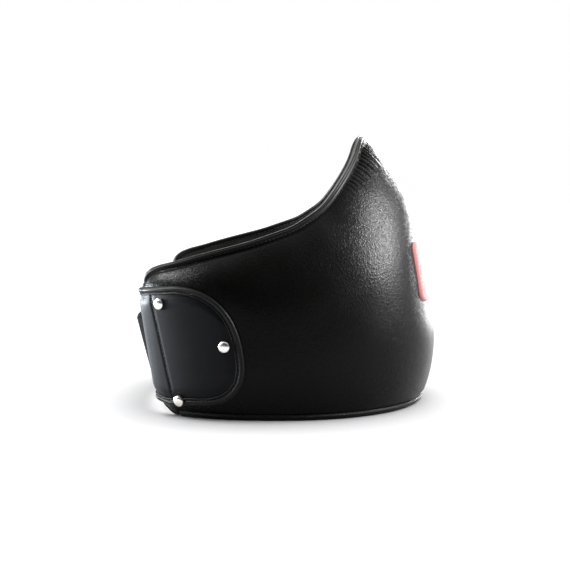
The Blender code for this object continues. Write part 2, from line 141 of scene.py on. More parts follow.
def smooth(value, start, end):
    """0 before start, 1 after end, eased between."""
    share = np.clip((np.asarray(value, float) - start) / (end - start), 0, 1)
    return share * share * (3 - 2 * share)


def measure_oval():
    """Even steps along half of the waist opening: distance, width, depth, outward normal."""
    turn = np.linspace(0, math.pi / 2, 1500)
    front_wide = HALF_WIDTH * np.sin(turn) ** (2 / FRONT_POWER)
    front_deep = -FRONT_DEPTH * np.cos(turn) ** (2 / FRONT_POWER)
    rear_wide = HALF_WIDTH * np.cos(turn) ** (2 / REAR_POWER)
    rear_deep = REAR_DEPTH * np.sin(turn) ** (2 / REAR_POWER)
    wide = np.concatenate([front_wide, rear_wide[1:]])
    deep = np.concatenate([front_deep, rear_deep[1:]])
    run = np.concatenate([[0], np.cumsum(np.hypot(np.diff(wide), np.diff(deep)))])
    even = np.linspace(0, run[-1], 241)
    wide = np.interp(even, run, wide)
    deep = np.interp(even, run, deep)
    return even, wide, deep, np.gradient(deep, even), -np.gradient(wide, even)


OVAL = measure_oval()
BACK_CENTRE = float(OVAL[0][-1])


def place(around, out, height):
    """Points, in millimetres, at places on the pad."""
    around, out, height = np.broadcast_arrays(np.asarray(around, float), out, height)
    distance = np.abs(around)
    side = np.where(around >= 0, -1.0, 1.0)
    past = distance > BACK_CENTRE
    distance = np.where(past, 2 * BACK_CENTRE - distance, distance)
    side = np.where(past, -side, side)
    wide, deep, normal_wide, normal_deep = (np.interp(distance, OVAL[0], column)
                                            for column in OVAL[1:])
    x = side * (wide + normal_wide * out)
    y = deep + normal_deep * out + LEAN * height + ORIGIN_SHIFT
    return np.stack([x, y, height + 0 * x], -1)


def rim_height(around):
    """Height of the top rim."""
    distances, heights = zip(*RIM)
    window = np.linspace(-RIM_ROUNDING, RIM_ROUNDING, 9)
    near = np.abs(np.abs(np.asarray(around, float))[..., None] + window)
    return np.interp(near, distances, heights).mean(-1)


def rim_slope(around):
    """Rise of the rim per unit of distance from the front centre; it is negative."""
    distance = np.abs(np.asarray(around, float))
    rise = (rim_height(distance + 2) - rim_height(np.abs(distance - 2))) / 4
    return np.where(distance < 2, 0.0, rise)


def shell_top(around):
    """Upper edge of the shell, just under the rim binding."""
    return rim_height(around) - (RIM_BINDING + RIM_CLEARANCE) * np.hypot(1, rim_slope(around))


def foot_rise(around):
    """Rise of a wing's lower edge towards its rear corner."""
    past_fold = np.maximum(np.abs(around) - FOLD, 0) / (WING_END - FOLD)
    return CORNER_RISE * past_fold ** 2


def full_thickness(around):
    """Padding thickness away from the edges."""
    distance = np.abs(around)
    front_to_side = (FRONT_THICKNESS - SIDE_THICKNESS) * smooth(distance, 60, 235)
    side_to_rear = (SIDE_THICKNESS - REAR_THICKNESS) * smooth(distance, 235, 345)
    return FRONT_THICKNESS - front_to_side - side_to_rear


def broad_top(around):
    """Upper edge of the shell averaged over a stretch, so that the corners of the rim do not
    run down the padding as ridges."""
    around = np.asarray(around, float)
    return sum(shell_top(np.abs(np.abs(around) + shift)) for shift in BROAD) / len(BROAD)


def shell_out(around, height):
    """Outer face of the shell: crowned, thin at the rim and rounded in at the foot."""
    around = np.asarray(around, float)
    distance = np.abs(around)
    crown = FRONT_CROWN - (FRONT_CROWN - REAR_CROWN) * smooth(distance, 150, 330)
    full = full_thickness(around)
    above = np.clip((height - 3 - foot_rise(around)) / crown, 0, 1)
    near = (shell_top(around) - height) / np.hypot(1, rim_slope(around))
    broad = broad_top(around)
    slope = (broad_top(distance + 6) - broad_top(np.abs(distance - 6))) / (2 * 6)
    far = (broad - height) / np.hypot(1, np.where(distance < 6, 0.0, slope))
    below = near + (far - near) * smooth(near, 2, 34) * (1 - smooth(distance, 250, 290))
    from_foot = 1 - (1 - above) ** 2.2
    from_rim = 1 - (1 - np.clip(below / crown, 0, 1)) ** 2.5
    at_foot = full * (FOOT_SHARE + (1 - FOOT_SHARE) * from_foot)
    return EDGE_THICKNESS + (at_foot - EDGE_THICKNESS) * from_rim


def unit(vectors):
    """Vectors of length 1."""
    return vectors / np.maximum(np.linalg.norm(vectors, axis=-1, keepdims=True), 1e-9)


def run_along(points):
    """Distance of each point along a line of points."""
    steps = np.linalg.norm(np.diff(points, axis=0), axis=1)
    return np.concatenate([[0], np.cumsum(steps)])


def shell_normal(around, height):
    """Outward normal of the shell's outer face."""
    around = np.asarray(around, float)
    ahead = place(around + 1, shell_out(around + 1, height), height)
    behind = place(around - 1, shell_out(around - 1, height), height)
    higher = place(around, shell_out(around, height + 1), height + 1)
    lower = place(around, shell_out(around, height - 1), height - 1)
    return unit(np.cross(higher - lower, ahead - behind))


# --- Meshes -----------------------------------------------------------------------------

def add_piece(name, points, faces, material, places=None, sharp=None, pale_and_highlight=None):
    """A mesh object from points in millimetres. places become a UV map in millimetres."""
    mesh = bpy.data.meshes.new(name)
    mesh.from_pydata((np.asarray(points, float).reshape(-1, 3) * MM).tolist(), [], faces)
    if places is not None:
        corner = np.zeros(len(mesh.loops), int)
        mesh.loops.foreach_get("vertex_index", corner)
        layer = mesh.uv_layers.new(name="place")
        layer.data.foreach_set("uv", np.asarray(places, float).reshape(-1, 2)[corner].ravel())
    if pale_and_highlight is not None:
        attribute = mesh.attributes.new("pale_and_highlight", "FLOAT", "POINT")
        attribute.data.foreach_set("value", np.asarray(pale_and_highlight, np.float32).ravel())
    mesh.shade_smooth()
    if sharp:
        mesh.set_sharp_from_angle(angle=math.radians(sharp))
    piece = bpy.data.objects.new(name, mesh)
    bpy.context.collection.objects.link(piece)
    mesh.materials.append(material)
    return piece


def grid_faces(columns, rows, around=False, across=False, start=0, flip=False):
    """Quads over a grid whose points run column by column; around or across closes it."""
    faces = []
    for i in range(columns if around else columns - 1):
        for j in range(rows if across else rows - 1):
            a = start + i * rows + j
            b = start + (i + 1) % columns * rows + j
            c = start + (i + 1) % columns * rows + (j + 1) % rows
            d = start + i * rows + (j + 1) % rows
            faces.append((a, d, c, b) if flip else (a, b, c, d))
    return faces


def tube_faces(columns, rows, flip=False):
    """A grid closed across its rows, with flat ends."""
    faces = grid_faces(columns, rows, across=True, flip=flip)
    first = tuple(range(rows))
    last = tuple(range((columns - 1) * rows, columns * rows))
    return faces + ([first[::-1], last] if flip else [first, last[::-1]])


def outward(piece):
    """Turn all faces of a closed piece outwards."""
    work = bmesh.new()
    work.from_mesh(piece.data)
    bmesh.ops.recalc_face_normals(work, faces=work.faces)
    work.to_mesh(piece.data)
    work.free()
    return piece


def closed_piece(name, ring, material, places=None, sharp=None, pale_and_highlight=None):
    """A closed piece from rings of points, one ring after another."""
    faces = tube_faces(*ring.shape[:2])
    return outward(add_piece(name, ring, faces, material, places, sharp, pale_and_highlight))


def crossed(run, girth):
    """Places on a piece whose rows share run and whose columns share girth."""
    return np.stack(np.broadcast_arrays(run[:, None], girth[None, :]), -1)


def belongs(piece, body):
    """The body that a piece moves with."""
    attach(piece, body)


def mirrored(around):
    """Both signs of a list of distances, in order."""
    return np.concatenate([-around[::-1], around[around > 0]])


# --- Materials --------------------------------------------------------------------------

class Look:
    """A Principled material, and a short way to add nodes to it."""

    def __init__(self, name, colour, roughness, **settings):
        self.material = bpy.data.materials.new(name)
        self.material.use_nodes = True
        self.tree = self.material.node_tree
        self.shader = self.tree.nodes["Principled BSDF"]
        self.shader.inputs["Base Color"].default_value = (*colour, 1)
        self.shader.inputs["Roughness"].default_value = roughness
        for socket, value in settings.items():
            self.shader.inputs[socket.replace("_", " ")].default_value = value
        uv = self.tree.nodes.new("ShaderNodeUVMap")
        uv.uv_map = "place"
        self.place = uv.outputs["UV"]

    def add(self, kind, output=0, settings=(), **inputs):
        """A node; its inputs are values or other nodes' outputs, and its output is returned."""
        node = self.tree.nodes.new("ShaderNode" + kind)
        for key, value in dict(settings).items():
            setattr(node, key, value)
        for key, value in inputs.items():
            key = int(key[1:]) if key[0] == "i" and key[1:].isdigit() else key.replace("_", " ")
            if isinstance(value, bpy.types.NodeSocket):
                self.tree.links.new(value, node.inputs[key])
            else:
                node.inputs[key].default_value = value
        return node.outputs[output]

    def noise(self, size, detail=3.0, roughness=0.55, vector=None):
        """Noise whose features are about size millimetres."""
        return self.add("TexNoise", Vector=vector or self.place, Scale=1 / size, Detail=detail,
                        Roughness=roughness)

    def cells(self, size, vector=None, feature="F1"):
        """Distance in a cell pattern of about size millimetres."""
        return self.add("TexVoronoi", "Distance", {"feature": feature},
                        Vector=vector or self.place, Scale=1 / size)

    def math(self, operation, a, b=0.0, c=0.0):
        return self.add("Math", settings={"operation": operation}, i0=a, i1=b, i2=c)

    def remap(self, value, low, high, to_low=0.0, to_high=1.0, ease=False):
        kind = "SMOOTHSTEP" if ease else "LINEAR"
        return self.add("MapRange", "Result", {"interpolation_type": kind}, Value=value,
                        From_Min=low, From_Max=high, To_Min=to_low, To_Max=to_high)

    def mix(self, factor, first, second):
        """A colour between two colours or colour outputs."""
        node = self.tree.nodes.new("ShaderNodeMix")
        node.data_type = "RGBA"
        for index, value in ((0, factor), (6, first), (7, second)):
            if isinstance(value, bpy.types.NodeSocket):
                self.tree.links.new(value, node.inputs[index])
            elif index == 0:
                node.inputs[index].default_value = value
            else:
                node.inputs[index].default_value = (*value, 1)
        return node.outputs[2]

    def along_across(self):
        """The two coordinates of the place on a piece, in millimetres."""
        split = self.tree.nodes.new("ShaderNodeSeparateXYZ")
        self.tree.links.new(self.place, split.inputs[0])
        return split.outputs[0], split.outputs[1]

    def attribute(self, name):
        return self.add("Attribute", "Fac", {"attribute_name": name})

    def use(self, **outputs):
        """Link outputs to the shader's sockets."""
        for socket, output in outputs.items():
            self.tree.links.new(output, self.shader.inputs[socket.replace("_", " ")])

    def bump(self, height, depth, strength=1.0):
        """Bump from a height of 0 to 1 that stands for depth millimetres."""
        self.use(Normal=self.add("Bump", Height=height, Distance=depth * MM,
                                 Strength=strength))


def leather(name, colour, pale_and_highlight_colour, roughness, grain, depth, stretch=(1.0, 1.0), gloss=0.3,
            mottle_levels=(0.32, 0.56)):
    """Grained leather: pebbles with valleys between them, fine pores, broad unevenness,
    and a paler, smoother colour where the piece's attribute asks for it: a painted highlight
    along the rim roll's crest, a painted sheen on the curl round each wing's rear edge, and a
    paler top on the wing bands and a paler outer edge on the sole. The last setting gives the
    two levels of a noise between which that paler colour sets in; close together they make it
    blotchy."""
    look = Look(name, colour, roughness[0], Specular_IOR_Level=gloss)
    stretched = look.add("Mapping", Vector=look.place, Scale=(*stretch, 1))
    wander = look.add("TexNoise", "Color", Vector=stretched, Scale=0.28, Detail=2.0)
    bent = look.add("VectorMath", settings={"operation": "MULTIPLY_ADD"}, i0=wander,
                    i1=(1.6, 1.6, 0), i2=stretched)
    pebble = look.remap(look.cells(grain, bent, "DISTANCE_TO_EDGE"), 0.0, 0.22, ease=True)
    pores = look.noise(grain * 0.35, 2.0, vector=bent)
    creases = look.remap(look.noise(grain * 5, 4.0, 0.7, vector=bent), 0.35, 0.65)
    dome = look.remap(look.cells(grain, bent), 0.0, 0.7, 1.0, 0.0, ease=True)
    height = look.math("MULTIPLY_ADD", pebble, 0.10, look.math("MULTIPLY", pores, 0.36))
    height = look.math("MULTIPLY_ADD", dome, 0.50, height)
    height = look.math("MULTIPLY_ADD", creases, 0.08, height)
    look.bump(height, depth)
    patchy = look.remap(look.noise(38.0, 3.0), 0.3, 0.7)
    valley = look.math("SUBTRACT", 1.0, pebble)
    shine = look.math("MULTIPLY_ADD", patchy, roughness[1] - roughness[0], roughness[0])
    shine = look.math("MULTIPLY_ADD", valley, 0.14, shine)
    # This attribute carries the painted highlight on the rim roll's crest and the painted sheen
    # on the wings' rear curl, as well as the paler top of the bands and edge of the sole.
    pale_and_highlight = look.attribute("pale_and_highlight")
    pale_and_highlight_mask = look.math("MULTIPLY", pale_and_highlight, look.remap(look.noise(2.2, 4.0, 0.7), *mottle_levels))
    look.use(Roughness=look.math("MULTIPLY_ADD", pale_and_highlight_mask, -0.06, shine))
    tone = look.mix(patchy, colour, [c * 1.35 for c in colour])
    tone = look.mix(look.math("MULTIPLY", valley, 0.5), tone, [c * 0.4 for c in colour])
    look.use(Base_Color=look.mix(pale_and_highlight_mask, tone, pale_and_highlight_colour))
    return look.material


def woven(name, colour, thread, rib, depth):
    """Webbing: ribs along its length, and slanting threads across each rib."""
    look = Look(name, colour, 0.72, Specular_IOR_Level=0.02)
    along, across = look.along_across()
    turn = 2 * math.pi
    ribs = look.math("ABSOLUTE", look.math("SINE", look.math("MULTIPLY", across, turn / rib / 2)))
    zigzag = look.math("PINGPONG", across, rib)
    slant = look.math("MULTIPLY_ADD", zigzag, 0.9, along)
    threads = look.math("SINE", look.math("MULTIPLY", slant, turn / thread))
    threads = look.remap(threads, -1.0, 1.0)
    height = look.math("MULTIPLY_ADD", threads, 0.45, look.math("MULTIPLY", ribs, 0.55))
    fuzz = look.noise(0.25, 2.0)
    look.bump(look.math("MULTIPLY_ADD", fuzz, 0.2, height), depth)
    dusty = look.remap(look.noise(30.0, 3.0), 0.35, 0.7)
    tone = look.mix(height, [c * 0.35 for c in colour], [c * 1.3 for c in colour])
    look.use(Base_Color=look.mix(look.math("MULTIPLY", dusty, 0.3), tone,
                                 [c * 2.0 for c in colour]))
    look.use(Roughness=look.remap(height, 0.0, 1.0, 0.85, 0.66))
    return look.material


def knitted(name, colour, stitch, depth):
    """Lining cloth: a small even knit with a soft sheen."""
    look = Look(name, colour, 0.85, Specular_IOR_Level=0.10, Sheen_Weight=0.04,
                Sheen_Roughness=0.4)
    turn = 2 * math.pi / stitch
    one, other = (look.math("SINE", look.math("MULTIPLY", coordinate, turn))
                  for coordinate in look.along_across())
    height = look.remap(look.math("MULTIPLY", one, other), -1.0, 1.0)
    fibres = look.noise(0.3, 3.0)
    height = look.math("MULTIPLY_ADD", fibres, 0.4, look.math("MULTIPLY", height, 0.6))
    look.bump(height, depth)
    uneven = look.remap(look.noise(22.0, 4.0), 0.3, 0.7)
    tone = look.mix(height, [c * 0.55 for c in colour], [c * 1.25 for c in colour])
    look.use(Base_Color=look.mix(look.math("MULTIPLY", uneven, 0.35), tone,
                                 [c * 1.6 for c in colour]))
    look.use(Roughness=look.remap(fibres, 0.3, 0.7, 0.78, 0.95))
    return look.material


def fuzzy(name, colour, tuft, depth, hooks):
    """Hook or loop tape: rows of stiff hooks, or a tangled pile."""
    look = Look(name, colour, 0.9, Specular_IOR_Level=0.06, Sheen_Weight=0.02)
    if hooks:
        height = look.remap(look.cells(tuft), 0.15, 0.5, 1.0, 0.0, ease=True)
    else:
        tangle = look.add("TexNoise", Vector=look.place, Scale=1 / tuft, Detail=6.0,
                          Roughness=0.8, Distortion=2.5)
        height = look.remap(tangle, 0.3, 0.7)
    look.bump(height, depth)
    look.use(Base_Color=look.mix(height, [c * 0.4 for c in colour], [c * 1.5 for c in colour]))
    look.use(Roughness=look.remap(height, 0.0, 1.0, 0.95, 0.7))
    return look.material


def metal(name, colour, roughness, scratch):
    """Plated metal with fine scratches and faint smudges."""
    look = Look(name, colour, roughness, Metallic=1.0)
    position = look.add("TexCoord", "Object")
    thin = look.add("Mapping", Vector=position, Scale=(1400, 1400, 160),
                    Rotation=(0.6, 0.4, 0.9))
    lines = look.add("TexNoise", Vector=thin, Scale=1.0, Detail=3.0, Roughness=0.7)
    smudge = look.add("TexNoise", Vector=position, Scale=260.0, Detail=3.0)
    shine = look.math("MULTIPLY_ADD", lines, scratch, roughness)
    look.use(Roughness=look.math("MULTIPLY_ADD", look.remap(smudge, 0.45, 0.7), 0.10, shine))
    look.use(Base_Color=look.mix(look.remap(smudge, 0.5, 0.75), colour,
                                 [c * 0.86 for c in colour]))
    look.bump(lines, 0.02, 0.6)
    return look.material


def thread(name, colour):
    """Waxed thread with a visible twist."""
    look = Look(name, colour, 0.5, Specular_IOR_Level=0.4)
    twist = look.add("TexWave", settings={"bands_direction": "DIAGONAL"}, Vector=look.place,
                     Scale=0.9, Distortion=0.4)
    look.bump(twist, 0.12)
    look.use(Base_Color=look.mix(twist, [c * 0.5 for c in colour], [c * 1.3 for c in colour]))
    look.use(Roughness=look.remap(twist, 0.0, 1.0, 0.62, 0.45))
    return look.material


SHELL_LEATHER = leather("shell leather", (0.0020, 0.0021, 0.0019), (0.05, 0.05, 0.047),
                        (0.20, 0.25), 1.8, 0.235, gloss=0.07)
# The panel leather's paler, bluish colour is a painted sheen on the curl round each wing's rear
# edge; its wide noise levels keep that sheen smooth with faint mottling.
PANEL_LEATHER = leather("panel leather", (0.0020, 0.0023, 0.0033), (0.034, 0.036, 0.040),
                        (0.33, 0.38), 0.9, 0.06, gloss=0.10, mottle_levels=(0.10, 0.60))
# The binding leather's paler colour is a painted highlight along the rim roll's crest, and a
# paler top on the wing bands and a paler outer edge on the sole roll.
BINDING_LEATHER = leather("binding leather", (0.0022, 0.0022, 0.0022), (0.15, 0.145, 0.135),
                          (0.28, 0.36), 0.8, 0.08, (0.8, 1.2), gloss=0.10)
LINING_KNIT = knitted("lining knit", (0.013, 0.0135, 0.012), 1.1, 0.16)
WEBBING = woven("webbing", (0.0035, 0.0035, 0.0038), 1.5, 2.4, 0.35)
HOOK_TAPE = fuzzy("hook tape", (0.009, 0.009, 0.0095), 1.5, 0.5, True)
LOOP_TAPE = fuzzy("loop tape", (0.008, 0.008, 0.0085), 0.9, 0.6, False)
NICKEL = metal("nickel", (0.90, 0.87, 0.83), 0.20, 0.14)
STEEL = metal("burr steel", (0.55, 0.55, 0.54), 0.30, 0.20)
BLACK_THREAD = thread("black thread", (0.006, 0.006, 0.006))
RED_THREAD = thread("red thread", (0.62, 0.30, 0.30))
RED_LEATHER = leather("red leather", (0.15, 0.030, 0.030), (0.30, 0.10, 0.10),
                      (0.50, 0.58), 0.9, 0.12, gloss=0.25)


# --- Padded shell -----------------------------------------------------------------------

NEAR_RIM = 40 * np.linspace(0, 1, 34) ** 1.2      # distances below the shell's top
TO_FOOT = np.linspace(0, 1, 36)[1:]
INSIDE_ROWS = 7


def make_puckers():
    """Fine gathers square to the rim, from the peak down both shoulders:
    around, length, width and depth of each."""
    puckers = []
    for side in (-1, 1):
        around = random.uniform(0.5, 2.0)
        while around < PUCKER_END:
            fade = 1 - 0.75 * float(smooth(around, 84, PUCKER_END))
            fade *= 0.1 + 0.9 * float(smooth(around, 28, 68))
            puckers.append((side * around, random.uniform(8, 18) * (0.5 + 0.5 * fade),
                            random.uniform(0.9, 1.3), random.uniform(0.8, 1.7) * fade))
            around += PUCKER_GAP * random.uniform(0.65, 1.35)
    return puckers


PUCKERS = make_puckers()


def pucker_relief(around, height):
    """How far the gathers draw the leather in. Each starts square to the rim, then turns
    downwards."""
    relief = np.zeros_like(around)
    for root, length, width, depth in PUCKERS:
        slope = float(rim_slope(root)) * (1 if root >= 0 else -1)
        norm = math.hypot(1, slope)
        beside = around - root
        over = height - float(shell_top(root))
        u = (beside + over * slope) / norm
        v = (beside * slope - over) / norm
        near = (np.abs(u) < 25) & (v > -8) & (v < length * 1.3)
        share = np.clip(v[near] / length, 0, 1.3)
        centre = -0.45 * slope * np.clip(v[near], 0, None) ** 2 / length
        fall = smooth(v[near], -3, 1.5) * (1 - smooth(share, 0.25, 1.25))
        spread = width * (0.8 + 0.5 * share)
        relief[near] += depth * fall * np.exp(-((u[near] - centre) / spread) ** 2)
        ridge = np.exp(-((u[near] - centre - 1.9 * width) / spread) ** 2)
        relief[near] -= 0.25 * depth * fall * ridge
    return relief


def at_peak(around):
    """1 along the level top of the rim, where the roll lies flatter and the leather comes
    higher, and 0 down the shoulders."""
    return 1 - smooth(np.abs(around), 34, 84)


def column_heights(around, foot):
    """Rows of heights down each column of the shell, close together under the rim."""
    top = (shell_top(around) + TUCKED + PEAK_TUCK * at_peak(around))[:, None]
    low = top - NEAR_RIM[-1]
    return np.concatenate([top - NEAR_RIM, low + (foot[:, None] - low) * TO_FOOT], 1)


def shell_relief(around, height, foot):
    """Outward movement of the leather: tucked in at both seams, gathered at the rim."""
    below = shell_top(around) + TUCKED + PEAK_TUCK * at_peak(around) - height
    below = below / np.hypot(1, rim_slope(around))
    tuck = 1.8 * np.exp(-np.clip(below, 0, None) / 1.3)
    shoulder = 1.5 * smooth(below, 0, 5) * (1 - smooth(below, 7, 38))
    foot_tuck = 1.6 * np.exp(-np.clip(height - foot, 0, None) / 2.0)
    sway = (0.14 * np.sin(around / 17 + height / 31) * np.sin(height / 23 + 1.3)
            + 0.05 * np.sin(around / 9.5 - height / 12))
    gathers = pucker_relief(around, height)
    return sway * smooth(below, 4, 30) + shoulder - tuck - foot_tuck - gathers


def swell_shell(arounds, foot):
    """Outward swelling of the shell's leather, found by blowing up a coarse copy of it as
    cloth whose inside and edges are held. Returned for the fine columns and rows."""
    rows = len(NEAR_RIM) + len(TO_FOOT)
    coarse = np.linspace(arounds[0], arounds[-1], 100)
    picked = np.unique(np.concatenate([np.arange(0, rows, 3), [rows - 1]]))
    coarse_foot = np.interp(coarse, arounds, foot)
    heights = column_heights(coarse, coarse_foot)[:, picked]
    wide = coarse[:, None] + 0 * heights
    outer = place(wide, shell_out(wide, heights), heights)
    inner = place(wide, 1.0 + 0 * heights, heights)
    ring = np.concatenate([outer, inner[:, ::-1]], 1)
    balloon = closed_piece("balloon", ring, SHELL_LEATHER)
    free = np.zeros(ring.shape[:2], bool)
    free[1:-1, 3:len(picked) - 2] = True
    held = balloon.vertex_groups.new(name="held")
    held.add(np.flatnonzero(~free.ravel()).tolist(), 1.0, "REPLACE")
    cloth = balloon.modifiers.new("cloth", "CLOTH")
    cloth.settings.quality = 6
    cloth.settings.mass = 0.3
    cloth.settings.tension_stiffness = 5
    cloth.settings.compression_stiffness = 5
    cloth.settings.bending_stiffness = 0.2
    cloth.settings.use_pressure = True
    cloth.settings.uniform_pressure_force = 4
    cloth.settings.vertex_group_mass = "held"
    cloth.settings.effector_weights.gravity = 0
    scene = bpy.context.scene
    for step in range(1, 21):
        scene.frame_set(step)
    swollen = balloon.evaluated_get(bpy.context.evaluated_depsgraph_get()).data
    ends = np.zeros(len(swollen.vertices) * 3)
    swollen.vertices.foreach_get("co", ends)
    moved = ends.reshape(ring.shape) / MM - ring
    scene.frame_set(1)
    bpy.data.objects.remove(balloon)
    normal = shell_normal(wide, heights)
    lift = np.clip((moved[:, :len(picked)] * normal).sum(-1), -SWELL_CAP, SWELL_CAP)
    by_row = np.stack([np.interp(np.arange(rows), picked, column) for column in lift])
    return np.stack([np.interp(arounds, coarse, row) for row in by_row.T], 1)


def shell_sections(arounds, foot, swell=None):
    """Closed sections of the leather-covered padding, one to each distance."""
    grid_around = arounds[:, None] + np.zeros(len(NEAR_RIM) + len(TO_FOOT))
    heights = column_heights(arounds, foot)
    distance = np.abs(grid_around)
    held = np.minimum(distance, CURL_START)
    curled = np.clip((distance - CURL_START) / (WING_END - CURL_START), 0, 1)
    half = np.sqrt(1 - curled ** 2)
    outer = shell_out(held, heights)
    outer = outer / 2 * (1 + half)
    relief = shell_relief(grid_around, heights, foot[:, None]) * half
    skin = place(grid_around, outer, heights)
    normal = shell_normal(grid_around, heights)
    outwards = place(grid_around, 1.0, heights) - place(grid_around, 0.0, heights)
    steer = smooth(distance, CURL_START - 4, CURL_START)[..., None]
    normal = unit(normal * (1 - steer) + outwards * steer)
    if swell is not None:
        relief = relief + swell
    skin = skin + normal * relief[..., None]
    top, bottom = heights[:, 0], heights[:, -1]
    lower = [place(arounds, outer[:, -1] * share, bottom - drop)
             for share, drop in ((0.85, 1.2), (0.5, 1.6), (0.2, 1.2))]
    inner_out = (shell_out(CURL_START, top) / 2 * (1 - half[:, 0])) + 1.0 * half[:, 0]
    inner = [place(arounds, inner_out, bottom + (top - bottom) * share)
             for share in np.linspace(0.01, 1, INSIDE_ROWS)]
    ring = np.concatenate([skin, np.stack(lower + inner, 1)], 1)
    spread = np.cumsum(np.linalg.norm(np.diff(ring, axis=1), axis=2), 1)
    down = np.concatenate([np.zeros((len(arounds), 1)), spread], 1)
    places = np.stack([arounds[:, None] + 0 * down, 300 - down], -1)
    return ring, places


def build_shell():
    """The fixed pad's leather, and the leather of the two swinging ends."""
    arounds = mirrored(np.concatenate([np.linspace(0, 125, 180), np.linspace(125, 168, 28)[1:],
                                       np.linspace(168, SPLIT, 50)[1:]]))
    foot = 0 * arounds + SOLE_BINDING - 0.6
    ring, places = shell_sections(arounds, foot, swell_shell(arounds, foot))
    shell = closed_piece("shell_leather", ring, SHELL_LEATHER, places, 55,
                         np.zeros(ring.shape[:2]))
    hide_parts("outer_cover", "impact_foam", "comfort_foam")
    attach(shell, "pad")
    for name, side in (("right", 1), ("left", -1)):
        distance = np.concatenate([np.linspace(SPLIT, 332, 26), np.linspace(333, 341.9, 16)])
        arounds = side * distance
        foot = SOLE_BINDING - 0.6 - 3.4 * smooth(distance, FOLD - 3, FOLD + 2)
        ring, places = shell_sections(arounds, foot + foot_rise(distance))
        end = closed_piece(f"{name}_end_leather", ring, SHELL_LEATHER, places, 55,
                           np.zeros(ring.shape[:2]))
        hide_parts(f"{name}_wing_cover", f"{name}_wing_foam")
        bend_at_fold(end, side)


def bend_at_fold(piece, side):
    """Bake a finished piece's transform into its mesh. The soft stretch behind the fold,
    which leans like the pad, is worked out but not used."""
    start, end = soft_stretch(side, FOLD, FOLD_SOFT, 12.0, 72.0)
    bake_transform(piece)


def soft_stretch(side, around, aheads, out, height):
    """Both ends, in metres, of a stretch that bends, square to the pad's lean."""
    start, end = (Vector(place(side * (around + ahead), out, height)) * MM
                  for ahead in aheads)
    lean = Vector((0, LEAN, 1)).normalized()
    run = end - start
    run -= lean * run.dot(lean)
    return start, start + run


# --- Bound edges ------------------------------------------------------------------------

ROLL = ((3.2, 0.0), (4.3, 0.1), (5.1, 0.5), (5.45, 1.0), (5.35, 1.45), (5.65, 1.75),
        (6.2, 2.1), (6.6, 2.7), (6.8, 3.6), (6.7, 4.6), (6.3, 5.3), (5.8, 5.7), (5.9, 6.1),
        (5.6, 6.6), (4.6, 6.9),
        (2.0, 6.9), (0.7, 6.6), (0.3, 6.1), (0.4, 5.5), (0.75, 5.1), (0.9, 4.75), (0.7, 4.4),
        (0.15, 3.9), (0.0, 3.1), (0.25, 2.0), (1.0, 0.95), (2.1, 0.25))
# Share of the binding's paler colour at each point of the roll's profile: a painted highlight
# along the crest at the top, standing in for the thin bright line of light there.
ROLL_CREST_HIGHLIGHT = (1.0, 0.15, 0.0, 0.0, 0.0, 0.0, 0.1, 0.0, 0.0, 0.0, 0.0, 0.0, 0.0, 0.0, 0.0,
             0.0, 0.0, 0.0, 0.0, 0.0, 0.0, 0.0, 0.0, 0.0, 0.0, 0.0, 0.2)
ROLL_SEAM = 5.7            # depth of the stitched groove in the drawn profile


def rim_path(name):
    """Points (around, height) along the rim: the pad's part, or a wing's, which turns
    down round the rear corner."""
    if name == "pad":
        around = mirrored(np.concatenate([np.linspace(0, 168, 113),
                                          np.linspace(168, SPLIT, 56)[1:]]))
        return np.stack([around, rim_height(around)], 1)
    side = 1 if name == "right" else -1
    turn = np.linspace(0, math.pi / 2, 14)[1:]
    straight = np.linspace(SPLIT, CORNER_START, 22)
    corner = float(rim_height(CORNER_START))
    slope = float(rim_slope(CORNER_START))
    ahead = CORNER_RADIUS * np.sin(turn)
    around = np.concatenate([straight, CORNER_START + ahead])
    height = np.concatenate([rim_height(straight),
                             corner - CORNER_RADIUS * (1 - np.cos(turn)) + slope * ahead])
    down = np.linspace(2, 10, 5)
    around = np.concatenate([around, CORNER_START + CORNER_RADIUS + 0 * down])
    height = np.concatenate([height, height[-1] - down])
    return np.stack([side * around, height], 1)


def roll_depth(around):
    """Depth of the roll, as a share of its drawn profile."""
    return ROLL_DEPTH * (1 - 0.5 * at_peak(around))


def edge_roll(name, path, material):
    """A rolled binding whose sections are square to a path of (around, height)."""
    tangent = unit(np.gradient(path, axis=0))
    if path[-1][0] < path[0][0]:
        tangent = -tangent
    inward = np.stack([tangent[:, 1], -tangent[:, 0]], 1)
    profile = np.array(ROLL)
    depth = roll_depth(path[:, 0])[:, None, None] * profile[None, :, 1:2]
    at = path[:, None, :] + inward[:, None, :] * depth
    points = place(at[..., 0], profile[None, :, 0], at[..., 1])
    run = run_along(path)
    places = crossed(run, run_along(profile))
    # Painted highlight along the roll's crest.
    pale_and_highlight = np.broadcast_to(np.array(ROLL_CREST_HIGHLIGHT), points.shape[:2])
    roll = closed_piece(name, points, material, places, 60, pale_and_highlight)
    return roll, path, inward


def build_rim():
    """The rolled binding round the top rim, in three pieces that meet by the wings."""
    roll, path, inward = edge_roll("rim_roll", rim_path("pad"), BINDING_LEATHER)
    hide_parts("top_binding")
    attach(roll, "pad")
    ride_stitches("rim_stitches", roll_line(path, inward, 5.95), "pad", BLACK_THREAD)
    ride_stitches("rim_inner_stitches", roll_line(path, inward, 0.3), "pad", BLACK_THREAD)
    for name, side in (("right", 1), ("left", -1)):
        roll, path, inward = edge_roll(f"{name}_rim_roll", rim_path(name), BINDING_LEATHER)
        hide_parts(f"{name}_wing_binding")
        bend_at_fold(roll, side)
        thread_piece = stitches(f"{name}_rim_stitches", roll_line(path, inward, 5.95)[:-4],
                                BLACK_THREAD)
        bend_at_fold(thread_piece, side)


def roll_line(path, inward, out):
    """Where the seam runs along a rolled binding."""
    at = path + inward * (ROLL_SEAM * roll_depth(path[:, 0]))[:, None]
    return place(at[:, 0], out, at[:, 1])


